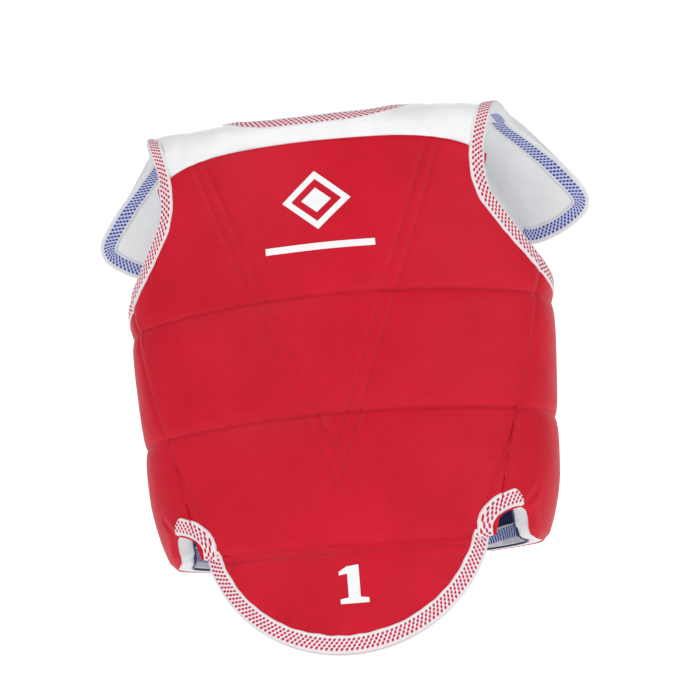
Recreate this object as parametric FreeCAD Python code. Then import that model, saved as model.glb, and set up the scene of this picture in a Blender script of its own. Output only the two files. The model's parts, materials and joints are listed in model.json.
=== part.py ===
"""Chest protector for martial arts, child size 1, reversible, in millimetres.

A padded shell wraps the trunk.  The front panel carries two side wings, a groin flap and two rear
shoulder lobes, each hinged to it along a stitched seam.  The shell follows a vertical oval drawn from
four tangent arcs; above the chest it leans back over the shoulders.  Every padded panel is layered:
outer cover, foam, inner cover, all parallel to the oval.  Tape is folded over the free edges.  +Z is up,
the front faces -Y, and the wearer's left is +X.  The origin is on the centre line of the wearer's trunk,
level with the lowest point of the groin flap.
"""
import FreeCAD, Part
import math
import os

Vector = FreeCAD.Vector

# --- the oval that the shell follows, measured on its outer face -----------------------------------
HALF_WIDTH = 189.0
HALF_DEPTH = 115.0
SIDE_RADIUS = 82.0

# --- layers ---------------------------------------------------------------------------------------
PAD = 18.0              # outer cover + foam + inner cover
FLAP_PAD = 14.0         # the groin flap is thinner
STRAP_PAD = 10.0        # and so are the yoke with its straps
LOBE_PAD = 12.0         # and the rear shoulder lobes
SKIN = 1.2              # cover material
TAPE = 1.0              # binding tape
TAPE_WIDTH = 17.0       # how far the tape reaches over each face
EDGE = 1.4              # the layers stop this far inside the tape's fold
CHANNEL = 9.0           # gap between two foam bands under a row of stitches
WEB = 2.4               # two covers sewn together at a seam

# --- heights --------------------------------------------------------------------------------------
WING_FOOT = 89.0
GROIN_SEAM = 92.0
NOTCH_TOP = 127.0
LOWER_QUILT = 205.0
UPPER_QUILT = 309.0
WING_TOP = 326.0
SEAM_HEAD = 346.0
YOKE_SEAM = 446.0
LEAN_START = 456.0      # here the shell starts to bend back to the shoulder
SHOULDER_TOP = 489.0
CEILING = 520.0         # above everything

# --- side seams, leg notches and rear edges, as lengths round the oval from the front centre ---------
SEAM_FOOT_ARC = 130.0
SEAM_HEAD_ARC = 207.0
NOTCH_END_ARC = 205.0
DIP_END_ARC = 262.0     # the armhole's dip in the wing's top edge ends here
REAR_EDGE_ARC = 385.0
SEAM_GAP = 15.0         # room for the side seam to bend
FRONT_FOOT_GAP = 6.0    # the front panel stops this far above the groin seam
FLAP_HEAD_GAP = 9.0     # and the flap this far below it
CORNER = 16.0

# --- armhole edge on the front panel, as (length round the oval, height, rounding) --------------------
ARMHOLE = ((262.0, 292.0, 0), (155.0, 396.0, 34), (156.0, 424.0, 60), (171.0, 482.0, 0))

# --- shoulders ------------------------------------------------------------------------------------
SHOULDER_INNER = 84.0   # the strap at the hinge line
SHOULDER_OUTER = 170.0
NECK_HALF = 72.0        # half the neck opening at the chest
STRAP_WAIST = 153.5     # half width over the straps where they leave the chest,
STRAP_WAIST_Y = -68.0   # this far in front of the shoulder hinge
NECK_FRONT = 104.0      # the neck opening's depth in front of the hinge line
SHOULDER_GAP = 6.0      # each side of the shoulder hinge at y = 0
YOKE_FLATS = 5          # the bends over the shoulder are drawn in short flats, within 0.4 mm of round
LOBE_FLATS = 5
LOBE_BEND = 58.0
LOBE_TURN = math.radians(70)
LOBE_FOOT = 374.0

# --- lace loops, emblem, numeral --------------------------------------------------------------------
LOOP_WIDTH = 18.0
LOOP_REACH = 17.0
LOOP_DEPTH = 12.0
LOOP_WALL = 1.6
LOOP_HEIGHTS = (128.0, 206.0, 284.0)
LOBE_LOOP_HEIGHT = 392.0
LOBE_LOOP_END = 138.0
LOBE_LOOP_DEPTH = 10.0
LOBE_LOOP_WIDTH = 12.0
PRINT = 0.5
EMBLEM_HEIGHT = 412.0
NUMERAL_HEIGHT = 70.0

FAR = 400.0             # beyond the object in every direction

FRONT_RADIUS = ((HALF_WIDTH - SIDE_RADIUS) ** 2 + HALF_DEPTH ** 2 - SIDE_RADIUS ** 2) \
    / (2 * (HALF_DEPTH - SIDE_RADIUS))
SIDE_CENTRE = HALF_WIDTH - SIDE_RADIUS
FRONT_CENTRE = FRONT_RADIUS - HALF_DEPTH
TANGENT = math.atan2(SIDE_CENTRE, FRONT_CENTRE)
ARMHOLE_BEARING = math.radians(40)
WING_BEARING = math.radians(68)


# --- geometry helpers -------------------------------------------------------------------------------
def on_oval(arc, inset=0.0):
    """The point at this length round the oval from the front centre, towards +X, and its bearing."""
    front_length = FRONT_RADIUS * TANGENT
    side_length = SIDE_RADIUS * (math.pi - 2 * TANGENT)
    if arc <= front_length:
        turn = arc / FRONT_RADIUS
        radius = FRONT_RADIUS - inset
        return radius * math.sin(turn), FRONT_CENTRE - radius * math.cos(turn), turn
    if arc <= front_length + side_length:
        turn = TANGENT + (arc - front_length) / SIDE_RADIUS
        radius = SIDE_RADIUS - inset
        return SIDE_CENTRE + radius * math.sin(turn), -radius * math.cos(turn), turn
    turn = math.pi - TANGENT + (arc - front_length - side_length) / FRONT_RADIUS
    radius = FRONT_RADIUS - inset
    return radius * math.sin(turn), -FRONT_CENTRE - radius * math.cos(turn), turn


def arc_edge(centre_x, centre_y, radius, start, end):
    """A horizontal arc about a vertical axis, from one angle to another, counter-clockwise."""
    circle = Part.Circle(Vector(centre_x, centre_y, 0), Vector(0, 0, 1), radius)
    return Part.ArcOfCircle(circle, start, end).toShape()


def oval_column(inset, low, high):
    """A solid column inside the oval, drawn in by the inset, between two heights."""
    half = math.pi / 2
    front, side = FRONT_RADIUS - inset, SIDE_RADIUS - inset
    edges = [
        arc_edge(0, FRONT_CENTRE, front, -half - TANGENT, -half + TANGENT),
        arc_edge(SIDE_CENTRE, 0, side, -half + TANGENT, half - TANGENT),
        arc_edge(0, -FRONT_CENTRE, front, half - TANGENT, half + TANGENT),
        arc_edge(-SIDE_CENTRE, 0, side, half + TANGENT, 3 * half - TANGENT),
    ]
    face = Part.Face(Part.Wire(edges))
    face.translate(Vector(0, 0, low))
    return face.extrude(Vector(0, 0, high - low))


def layer(outer, inner, low, high):
    """The part of the shell between two insets and two heights, all round."""
    return oval_column(outer, low, high).cut(oval_column(inner, low - 1, high + 1))


def box(x_low, x_high, y_low, y_high, z_low=0.0, z_high=CEILING):
    return Part.makeBox(x_high - x_low, y_high - y_low, z_high - z_low, Vector(x_low, y_low, z_low))


def slab(low, high):
    """Everything between two heights."""
    return box(-FAR, FAR, -FAR, FAR, low, high)


def line(start, end):
    return Part.LineSegment(start, end).toShape()


def closed_polygon(points):
    return Part.Face(Part.makePolygon(points + points[:1]))


def rounded_outline(corners, flat=False):
    """A closed wire through (a, b, radius) corners, each rounded by a tangent arc.

    It stands in the XZ plane, or lies in the XY plane if it is flat.
    """
    def at(a, b):
        return Vector(a, b, 0) if flat else Vector(a, 0, b)

    edges, ends = [], []
    count = len(corners)
    for i, (a, b, radius) in enumerate(corners):
        before, here, after = at(*corners[i - 1][:2]), at(a, b), at(*corners[(i + 1) % count][:2])
        back, ahead = (before - here).normalize(), (after - here).normalize()
        if radius == 0:
            ends.append((here, here))
            continue
        half_angle = back.getAngle(ahead) / 2
        reach = radius / math.tan(half_angle)
        middle = here + (back + ahead).normalize() * (radius / math.sin(half_angle) - radius)
        first, last = here + back * reach, here + ahead * reach
        ends.append((first, last))
        edges.append(Part.Arc(first, middle, last).toShape())
    for i in range(count):
        start, end = ends[i - 1][1], ends[i][0]
        if start.distanceToPoint(end) > 0.01:
            edges.append(line(start, end))
    return Part.Wire(Part.__sortEdges__(edges))


def grown_face(wire, grow):
    """The face inside a wire whose edge is moved outwards, or inwards if grow is below 0."""
    if grow:
        wire = wire.makeOffset2D(grow, 0, False, False, True)
    return Part.Face(wire)


def prism(wire, grow=0.0, bearing=0.0, near=0.0, far=FAR):
    """Push an outline of the XZ plane outwards along a bearing, measured from -Y towards +X."""
    solid = grown_face(wire, grow).extrude(Vector(0, near - far, 0))
    solid.translate(Vector(0, -near, 0))
    solid.rotate(Vector(0, 0, 0), Vector(0, 0, 1), math.degrees(bearing))
    return solid


def across(arc, bearing, inset=PAD / 2):
    """Where a point of the oval lies in an outline that is pushed along this bearing."""
    x, y, _ = on_oval(arc, inset)
    return x * math.cos(bearing) + y * math.sin(bearing)


def mirror(shape):
    """The same shape on the other side of the trunk."""
    return shape.mirror(Vector(0, 0, 0), Vector(1, 0, 0))


# --- the side seam: a plane through the hinge line, square to the shell ------------------------------
def seam_point(arc, height):
    x, y, _ = on_oval(arc, PAD / 2)
    return Vector(x, y, height)


SEAM_LOW = seam_point(SEAM_FOOT_ARC, GROIN_SEAM)
SEAM_HIGH = seam_point(SEAM_HEAD_ARC, SEAM_HEAD)
SEAM_AXIS = (SEAM_HIGH - SEAM_LOW).normalize()
SEAM_BEARING = (on_oval(SEAM_FOOT_ARC)[2] + on_oval(SEAM_HEAD_ARC)[2]) / 2
SEAM_OUT = Vector(math.sin(SEAM_BEARING), -math.cos(SEAM_BEARING), 0)
SEAM_NORMAL = SEAM_AXIS.cross(SEAM_OUT).normalize()


def beside_seam(low, high):
    """Everything between two distances from the seam plane, counted towards the wing."""
    face = closed_polygon([SEAM_LOW + SEAM_AXIS * a + SEAM_OUT * b
                           for a, b in ((-FAR, -FAR), (FAR, -FAR), (FAR, FAR), (-FAR, FAR))])
    face.translate(SEAM_NORMAL * low)
    return face.extrude(SEAM_NORMAL * (high - low))


# --- outlines ---------------------------------------------------------------------------------------
def armhole_bite(grow=0.0):
    """What the left armhole takes out of the front panel, up to where the strap bends back."""
    corners = [(across(arc, ARMHOLE_BEARING), height, rounding) for arc, height, rounding in ARMHOLE]
    beyond = corners[0][0] + FAR / 4
    outline = corners + [(beyond, corners[-1][1], 0), (beyond, corners[0][1], 0)]
    return prism(rounded_outline(outline), grow, ARMHOLE_BEARING, 20)


def shoulder_bite(grow=0.0):
    """What lies outside the left strap, seen from above."""
    flare = (SHOULDER_OUTER - STRAP_WAIST) / -STRAP_WAIST_Y
    ends = [(SHOULDER_OUTER + flare * y, y, 0) for y in (-FAR / 4, FAR / 4)]
    outline = rounded_outline(ends + [(FAR, FAR / 4, 0), (FAR, -FAR / 4, 0)], flat=True)
    solid = grown_face(outline, grow).extrude(Vector(0, 0, CEILING - LEAN_START + 6))
    solid.translate(Vector(0, 0, LEAN_START - 6))
    return solid


def neck_bite(grow=0.0):
    """The neck opening seen from above: a flat bow at the front, then straight back over the shoulders."""
    front, corner = -NECK_FRONT - 2, -NECK_FRONT + 14
    back = FAR / 4
    splay = SHOULDER_INNER + (SHOULDER_INNER - NECK_HALF) * back / -corner
    outline = rounded_outline([
        (-splay, back, 0), (-NECK_HALF, corner, 26), (-NECK_HALF / 2, front, 90),
        (NECK_HALF / 2, front, 90), (NECK_HALF, corner, 26), (splay, back, 0),
    ], flat=True)
    solid = grown_face(outline, grow).extrude(Vector(0, 0, CEILING - YOKE_SEAM))
    solid.translate(Vector(0, 0, YOKE_SEAM + 4))
    return solid


def wing_outline():
    """The wing seen square to its middle: leg notch, foot, rear end, top edge and armhole."""
    notch_start = across(SEAM_FOOT_ARC, WING_BEARING)
    notch_end = across(NOTCH_END_ARC, WING_BEARING)
    rise = NOTCH_TOP - WING_FOOT
    half_span = (notch_end - notch_start) / 2
    radius = (half_span ** 2 + rise ** 2) / (2 * rise)
    middle = (notch_start + notch_end) / 2
    centre_height = NOTCH_TOP - radius
    toe_height = WING_FOOT + CORNER
    toe = middle + math.sqrt((radius + CORNER) ** 2 - (toe_height - centre_height) ** 2)
    touch = math.atan2(toe_height - centre_height, toe - middle)
    dip_start = across(SEAM_HEAD_ARC, WING_BEARING)
    dip_end = across(DIP_END_ARC, WING_BEARING)
    drop, run = SEAM_HEAD - WING_TOP, dip_end - dip_start
    dip_radius = (run ** 2 + drop ** 2) / (2 * drop)
    far = dip_end + 140

    def on_circle(u, z, r, angle):
        return Vector(u + r * math.cos(angle), 0, z + r * math.sin(angle))

    def arc(u, z, r, start, end):
        points = [on_circle(u, z, r, math.radians(angle)) for angle in (start, (start + end) / 2, end)]
        return Part.Arc(*points).toShape(), points[0], points[-1]

    # both curves run on past the seam, so that the seam plane alone ends the wing there
    notch, notch_low, notch_high = arc(middle, centre_height, radius, 178, math.degrees(touch))
    toe_arc, _, toe_low = arc(toe, toe_height, CORNER, 180 + math.degrees(touch), 270)
    dip, dip_low, dip_high = arc(dip_end, WING_TOP + dip_radius, dip_radius, -90, -150)
    path = [toe_low, Vector(far, 0, WING_FOOT), Vector(far, 0, WING_TOP), dip_low]
    inboard = [dip_high, Vector(-FAR / 4, 0, dip_high.z), Vector(-FAR / 4, 0, notch_low.z), notch_low]
    edges = [notch, toe_arc, dip]
    for run_of_points in (path, inboard):
        edges += [line(a, b) for a, b in zip(run_of_points, run_of_points[1:])]
    return Part.Wire(Part.__sortEdges__(edges))


def flap_outline():
    """The groin flap seen from the front: a deep U of tangent arcs."""
    return rounded_outline([
        (-127, 114, 0), (-120, 71, 142), (-53.5, 0, 121), (53.5, 0, 121), (120, 71, 142), (127, 114, 0),
    ])


def lobe_outline():
    """A rear shoulder lobe seen from behind: it leans outwards and down to a blunt rounded end."""
    above = SHOULDER_TOP + 20
    return rounded_outline([
        (SHOULDER_INNER, above, 0), (SHOULDER_OUTER, above, 0), (SHOULDER_OUTER, SHOULDER_TOP, 20),
        (255, 410, 20), (172, LOBE_FOOT, 20), (112, 462, 50), (SHOULDER_INNER, 482, 0),
    ])


# --- panels: a cover outside, a cover inside, foam between, tape round the free edges ------------------
def wing_blank(outer, inner, shrink):
    """One layer of the left wing, drawn in from its free edges but not from the seam."""
    body = layer(outer, inner, 0, CEILING).common(prism(wing_outline(), -shrink, WING_BEARING, -150))
    body = body.common(beside_seam(SEAM_GAP / 2, FAR))
    x_end = on_oval(REAR_EDGE_ARC)[0] + shrink
    behind, before = box(x_end, FAR, 30, FAR), box(40, FAR, -FAR, 30)
    rear_end = prism(rounded_outline([
        (x_end, WING_FOOT + shrink, CORNER), (x_end, WING_TOP - shrink, CORNER),
        (FAR, WING_TOP - shrink, 0), (FAR, WING_FOOT + shrink, 0),
    ]), 0, 0, -FAR, -30)
    return body.common(behind.fuse(before)).common(rear_end.fuse(before))


def front_blank(outer, inner, shrink, low, high):
    """One layer of the front panel between two heights, drawn in from the armholes."""
    body = layer(outer, inner, low, high).common(box(-FAR, FAR, -FAR, 0))
    for cutter in (beside_seam(-SEAM_GAP / 2, 2 * FAR), armhole_bite(shrink)):
        body = body.cut(cutter).cut(mirror(cutter))
    return body


def yoke_blank(outer, inner, shrink):
    """One layer of the yoke: a band above the chest that bends back into the two shoulder straps."""
    bend = SHOULDER_TOP - LEAN_START
    hub = FRONT_RADIUS - bend
    flat_end = hub - 80

    def profile(inset):
        """Up the chest, round the bend in short flats and back along the shoulder."""
        radius = bend - inset
        turns = [math.pi / 2 * i / YOKE_FLATS for i in range(YOKE_FLATS + 1)]
        bent = [Vector(hub + radius * math.cos(turn), 0, LEAN_START + radius * math.sin(turn)) for turn in turns]
        return [Vector(FRONT_RADIUS - inset, 0, YOKE_SEAM)] + bent + [Vector(flat_end, 0, LEAN_START + radius)]

    face = closed_polygon(profile(outer) + profile(inner)[::-1])
    face.rotate(Vector(0, 0, 0), Vector(0, 0, 1), -150)
    body = face.revolve(Vector(0, 0, 0), Vector(0, 0, 1), 120)
    body.translate(Vector(0, FRONT_CENTRE, 0))
    body = body.common(box(-FAR, FAR, -FAR, -SHOULDER_GAP))
    chest_part = armhole_bite(shrink).common(slab(0, LEAN_START))
    for cutter in (chest_part, shoulder_bite(shrink)):
        body = body.cut(cutter).cut(mirror(cutter))
    return body.cut(neck_bite(shrink))


def flap_blank(outer, inner, shrink):
    """One layer of the groin flap, drawn in from its free edge."""
    body = layer(outer, inner, -5, GROIN_SEAM - FLAP_HEAD_GAP)
    return body.common(prism(flap_outline(), -shrink))


def lobe_blank(outer, inner, shrink):
    """One layer of the left rear lobe: over the shoulder, round a bend and down the back."""
    def profile(depth):
        radius = LOBE_BEND - depth
        centre = Vector(0, SHOULDER_GAP, SHOULDER_TOP - LOBE_BEND)
        turns = [LOBE_TURN * i / LOBE_FLATS for i in range(LOBE_FLATS + 1)]
        bent = [centre + Vector(0, math.sin(turn), math.cos(turn)) * radius for turn in turns]
        fall = bent[-1].z - LOBE_FOOT + 30
        return bent + [bent[-1] + Vector(0, fall / math.tan(LOBE_TURN), -fall)]

    body = closed_polygon(profile(outer) + profile(inner)[::-1]).extrude(Vector(FAR, 0, 0))
    return body.common(prism(lobe_outline(), -shrink, 0, -FAR, 0))


def taped(blank, pad, *extra):
    """Tape folded over the free edges of a panel: a channel of one thickness with both lips on it."""
    whole = blank(-TAPE, pad + TAPE, 0.0, *extra)
    core = blank(0.0, pad, EDGE, *extra)
    field = blank(-2 * TAPE, pad + 2 * TAPE, TAPE_WIDTH, *extra)
    return whole.cut(core).cut(field)


def lace_loop(x, y, z, bearing, reach=LOOP_REACH, depth=LOOP_DEPTH, width=LOOP_WIDTH):
    """A tape folded into a D, standing off an edge, its eye running up and down."""
    def ring(wall):
        start, tip, half = (wall - 1 if wall else 0), reach - wall, depth / 2 - wall
        near_low, near_high = Vector(start, -half, 0), Vector(start, half, 0)
        far_low, far_high = Vector(tip - half, -half, 0), Vector(tip - half, half, 0)
        edges = [line(near_low, far_low), Part.Arc(far_low, Vector(tip, 0, 0), far_high).toShape(),
                 line(far_high, near_high), line(near_high, near_low)]
        return Part.Face(Part.Wire(edges)).extrude(Vector(0, 0, width))
    solid = ring(0).cut(ring(LOOP_WALL))
    solid.translate(Vector(0, 0, -width / 2))
    solid.rotate(Vector(0, 0, 0), Vector(0, 0, 1), math.degrees(bearing))
    solid.translate(Vector(x, y, z))
    return solid


nodes = {}


def pair(name, shape):
    """Keep a piece of the wearer's left and its mirror image on the right."""
    nodes["left_" + name] = shape
    nodes["right_" + name] = mirror(shape)


# --- front panel --------------------------------------------------------------------------------------
front_foot = GROIN_SEAM + FRONT_FOOT_GAP
nodes["front_outer_cover"] = front_blank(0, SKIN, EDGE, front_foot, YOKE_SEAM)
nodes["front_inner_cover"] = front_blank(PAD - SKIN, PAD, EDGE, front_foot, YOKE_SEAM)
bands = {
    "lower": (front_foot, LOWER_QUILT - CHANNEL / 2),
    "middle": (LOWER_QUILT + CHANNEL / 2, UPPER_QUILT - CHANNEL / 2),
    "upper": (UPPER_QUILT + CHANNEL / 2, YOKE_SEAM),
}
for band, (low, high) in bands.items():
    nodes["front_foam_" + band] = front_blank(SKIN, PAD - SKIN, EDGE, low, high)

# --- yoke, and the tape round the neck and the armholes -------------------------------------------------
nodes["yoke_cover"] = yoke_blank(0, SKIN, EDGE)
nodes["yoke_foam"] = yoke_blank(SKIN, STRAP_PAD - SKIN, EDGE)
nodes["yoke_lining"] = yoke_blank(STRAP_PAD - SKIN, STRAP_PAD, EDGE)
yoke_tape = taped(yoke_blank, STRAP_PAD)
neck_zone = neck_bite(TAPE_WIDTH + 1).fuse(box(-NECK_HALF, NECK_HALF, -FAR, 0, YOKE_SEAM))
nodes["neck_binding"] = yoke_tape.common(neck_zone)
chest_tape = taped(front_blank, PAD, GROIN_SEAM, YOKE_SEAM)
chest_tape = chest_tape.common(armhole_bite(TAPE_WIDTH)).common(box(40, FAR, -FAR, 0, SEAM_HEAD - 50))
strap_tape = yoke_tape.cut(neck_zone).common(box(0, FAR, -FAR, 0))
pair("armhole_binding", chest_tape.fuse(strap_tape))

# --- wings ----------------------------------------------------------------------------------------------
pair("wing_outer_cover", wing_blank(0, SKIN, EDGE))
pair("wing_inner_cover", wing_blank(PAD - SKIN, PAD, EDGE))
wing_core = wing_blank(SKIN, PAD - SKIN, EDGE)
wing_bands = dict(bands, lower=(0, bands["lower"][1]), upper=(bands["upper"][0], CEILING))
for band, (low, high) in wing_bands.items():
    pair("wing_foam_" + band, wing_core.common(slab(low, high)))
pair("wing_binding", taped(wing_blank, PAD))
rear_x, rear_y, rear_turn = on_oval(REAR_EDGE_ARC, PAD / 2)
loops = [lace_loop(rear_x - TAPE, rear_y, height, rear_turn) for height in LOOP_HEIGHTS]
pair("wing_lace_loops", Part.makeCompound(loops))

# --- groin flap -------------------------------------------------------------------------------------------
nodes["groin_outer_cover"] = flap_blank(0, SKIN, EDGE)
nodes["groin_inner_cover"] = flap_blank(FLAP_PAD - SKIN, FLAP_PAD, EDGE)
nodes["groin_foam"] = flap_blank(SKIN, FLAP_PAD - SKIN, EDGE)
nodes["groin_binding"] = taped(flap_blank, FLAP_PAD)

# --- rear shoulder lobes ------------------------------------------------------------------------------------
pair("lobe_outer_cover", lobe_blank(0, SKIN, EDGE))
pair("lobe_lining", lobe_blank(LOBE_PAD - SKIN, LOBE_PAD, EDGE))
pair("lobe_foam", lobe_blank(SKIN, LOBE_PAD - SKIN, EDGE))
pair("lobe_binding", taped(lobe_blank, LOBE_PAD))
knee_y = LOBE_BEND * math.sin(LOBE_TURN) + SHOULDER_GAP
knee_z = SHOULDER_TOP - LOBE_BEND * (1 - math.cos(LOBE_TURN))
loop_y = knee_y + (knee_z - LOBE_LOOP_HEIGHT) / math.tan(LOBE_TURN) - LOBE_PAD / 2
loop_root = LOBE_LOOP_END + 2 * LOOP_REACH      # inside the lobe, which is then cut away
lobe_loop = lace_loop(loop_root, loop_y, LOBE_LOOP_HEIGHT, math.pi, 2 * LOOP_REACH,
                      LOBE_LOOP_DEPTH, LOBE_LOOP_WIDTH)
pair("lobe_lace_loop", lobe_loop.cut(lobe_blank(-TAPE, LOBE_PAD + TAPE, 0)))

# --- seams: the two covers sewn flat together, which bend where the panels hinge --------------------------
side_web = layer((PAD - WEB) / 2, (PAD + WEB) / 2, GROIN_SEAM + 12, SEAM_HEAD - 8)
pair("side_seam", side_web.common(beside_seam(-SEAM_GAP / 2, SEAM_GAP / 2)).common(box(0, FAR, -FAR, 0)))
groin_web = layer((FLAP_PAD - WEB) / 2, (FLAP_PAD + WEB) / 2, GROIN_SEAM - FLAP_HEAD_GAP, front_foot)
nodes["groin_seam"] = groin_web.common(box(-112, 112, -FAR, 0))
shoulder_web = SHOULDER_TOP - (STRAP_PAD + WEB) / 2
pair("shoulder_seam", box(SHOULDER_INNER + 4, SHOULDER_OUTER - 4, -SHOULDER_GAP, SHOULDER_GAP,
                          shoulder_web, shoulder_web + WEB))


# --- printed marks: a plain lozenge over a rule on the chest, and the size on the flap ----------------------
def lozenge(half_width, half_height):
    corners = ((half_width, 0), (0, half_height), (-half_width, 0), (0, -half_height))
    return rounded_outline([(x, EMBLEM_HEIGHT + z, 0) for x, z in corners])


frame_mark = prism(lozenge(30, 26)).cut(prism(lozenge(22, 19)))
rule_mark = box(-48, 48, -FAR, 0, EMBLEM_HEIGHT - 44, EMBLEM_HEIGHT - 38)
ink = layer(-PRINT, 0, 0, CEILING)
nodes["chest_emblem"] = Part.makeCompound(
    [ink.common(mark) for mark in (frame_mark, prism(lozenge(13, 11)), rule_mark)])

one = [(-12, -22), (12, -22), (12, -18), (5, -17), (5, 10), (-2, 10), (-12, 5), (-12, 2), (-5, 3),
       (-5, -17), (-12, -18)]
one_outline = rounded_outline([(x, NUMERAL_HEIGHT + z, 0) for x, z in one])
nodes["size_numeral"] = ink.common(prism(one_outline))

for name, shape in nodes.items():
    bound = shape.BoundBox
    print(f"{name:26s} solids {len(shape.Solids)} vol {shape.Volume / 1000:7.1f} cm3 valid {shape.isValid()} "
          f"x {bound.XMin:.0f}..{bound.XMax:.0f} y {bound.YMin:.0f}..{bound.YMax:.0f} "
          f"z {bound.ZMin:.0f}..{bound.ZMax:.0f}")
os.makedirs("parts", exist_ok=True)
for name, shape in nodes.items():
    shape.exportStep("parts/" + name + ".step")
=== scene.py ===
"""Looks of a padded chest protector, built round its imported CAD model.  Lengths are in metres.

The trunk shell is described by two lengths that a pattern cutter would use: how far round the trunk a
point lies from the front centre line, and how high up the cloth it lies.  Every panel, tape and stitch
is set out in those two lengths and then laid on the shell.
"""

import json
import math

import bpy
import numpy as np
from mathutils import Matrix, Vector


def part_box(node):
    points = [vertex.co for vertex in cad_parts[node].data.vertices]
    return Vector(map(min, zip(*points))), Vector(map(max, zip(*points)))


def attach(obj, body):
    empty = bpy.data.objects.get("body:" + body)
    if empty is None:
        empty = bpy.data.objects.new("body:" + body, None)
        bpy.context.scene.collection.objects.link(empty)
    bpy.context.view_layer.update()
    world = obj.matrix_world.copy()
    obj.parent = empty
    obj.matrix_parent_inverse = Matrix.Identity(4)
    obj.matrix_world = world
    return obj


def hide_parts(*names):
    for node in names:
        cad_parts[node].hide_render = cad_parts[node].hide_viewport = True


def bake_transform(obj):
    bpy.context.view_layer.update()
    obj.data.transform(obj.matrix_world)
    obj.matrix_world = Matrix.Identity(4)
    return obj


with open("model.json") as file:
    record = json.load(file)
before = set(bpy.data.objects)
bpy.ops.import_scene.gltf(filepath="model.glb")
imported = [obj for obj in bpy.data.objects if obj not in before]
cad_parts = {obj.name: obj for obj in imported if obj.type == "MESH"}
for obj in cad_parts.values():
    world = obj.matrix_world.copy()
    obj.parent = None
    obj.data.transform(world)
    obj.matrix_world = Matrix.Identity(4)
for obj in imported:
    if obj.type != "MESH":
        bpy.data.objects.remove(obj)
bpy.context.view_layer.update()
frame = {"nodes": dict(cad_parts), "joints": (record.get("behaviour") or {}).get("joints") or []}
bpy.ops.object.select_all(action="DESELECT")

MM = 0.001
JOINTS = {joint["name"]: joint for joint in frame["joints"]}


def low(node):
    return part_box(node)[0]


def high(node):
    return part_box(node)[1]


# --- driving sizes, from the frame where it holds them ---
HALF_WIDTH = high("left_wing_outer_cover").x
HALF_DEPTH = -low("front_outer_cover").y
SIDE_RADIUS = 82 * MM
PAD = 18 * MM
FLAP_PAD = 14 * MM
STRAP_PAD = 10 * MM
LOBE_PAD = 12 * MM
SKIN = 1.0 * MM
TAPE_WIDTH = 17 * MM

GROIN_SEAM = JOINTS["groin_flap_fold"]["pos_m"][2]
LOWER_QUILT = (high("front_foam_lower").z + low("front_foam_middle").z) / 2
UPPER_QUILT = (high("front_foam_middle").z + low("front_foam_upper").z) / 2
YOKE_SEAM = high("front_outer_cover").z
WING_FOOT = low("left_wing_binding").z
SEAM_HEAD = 346 * MM
WING_TOP = 326 * MM
SHOULDER_TOP = high("left_lobe_outer_cover").z
LEAN_START = YOKE_SEAM + 10 * MM
STRAP_RUN = 100 * MM
HINGE_UP = LEAN_START + STRAP_RUN

SEAM_FOOT_ARC = 130 * MM    # first values of the side seam's two ends, corrected below
SEAM_HEAD_ARC = 207 * MM
REAR_ARC = 385 * MM
REAR_CORNER = 18 * MM
LOBE_BEND = 58 * MM
LOBE_TURN = math.radians(70)
SHOULDER_GAP = 6 * MM
LINE_STEP = 2 * MM

WAIST_UP = 210 * MM
RIB_UP = 320 * MM
ARMPIT_UP = 385 * MM
RIB_FLARE = 0.33
FLANK_START = (110 * MM, 190 * MM)
FLANK_END = (250 * MM, 350 * MM)
HEM_TOP = 150 * MM
HEM_DEPTH = 57 * MM
HEM_DRAW = 12 * MM
LEAN_BACK = 42 * MM
LEAN_RISE = 30 * MM

FRONT_RADIUS = ((HALF_WIDTH - SIDE_RADIUS) ** 2 + HALF_DEPTH ** 2 - SIDE_RADIUS ** 2) \
    / (2 * (HALF_DEPTH - SIDE_RADIUS))
SIDE_CENTRE = HALF_WIDTH - SIDE_RADIUS
FRONT_CENTRE = FRONT_RADIUS - HALF_DEPTH
TANGENT = math.atan2(SIDE_CENTRE, FRONT_CENTRE)
FRONT_RUN = FRONT_RADIUS * TANGENT
SIDE_RUN = SIDE_RADIUS * (math.pi - 2 * TANGENT)


# --- the two surfaces that everything is laid on ---
def smooth(value, start, end):
    """0 before start, 1 after end, eased between."""
    t = np.clip((value - start) / (end - start), 0, 1)
    return t * t * (3 - 2 * t)


def on_oval(around):
    """x and y of the shell's outer face at lengths round it, positive towards the wearer's left."""
    length = np.abs(around)
    side = (length > FRONT_RUN) & (length <= FRONT_RUN + SIDE_RUN)
    rear = length > FRONT_RUN + SIDE_RUN
    turn = length / FRONT_RADIUS
    turn = np.where(side, TANGENT + (length - FRONT_RUN) / SIDE_RADIUS, turn)
    turn = np.where(rear, math.pi - TANGENT + (length - FRONT_RUN - SIDE_RUN) / FRONT_RADIUS, turn)
    radius = np.where(side, SIDE_RADIUS, FRONT_RADIUS)
    x = np.where(side, SIDE_CENTRE, 0) + radius * np.sin(turn)
    y = np.where(side, 0, np.where(rear, -FRONT_CENTRE, FRONT_CENTRE)) - radius * np.cos(turn)
    return x * np.sign(around), y


def bezier(a, b, c, d, t):
    return a * (1 - t) ** 3 + 3 * b * t * (1 - t) ** 2 + 3 * c * t ** 2 * (1 - t) + d * t ** 3


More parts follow.
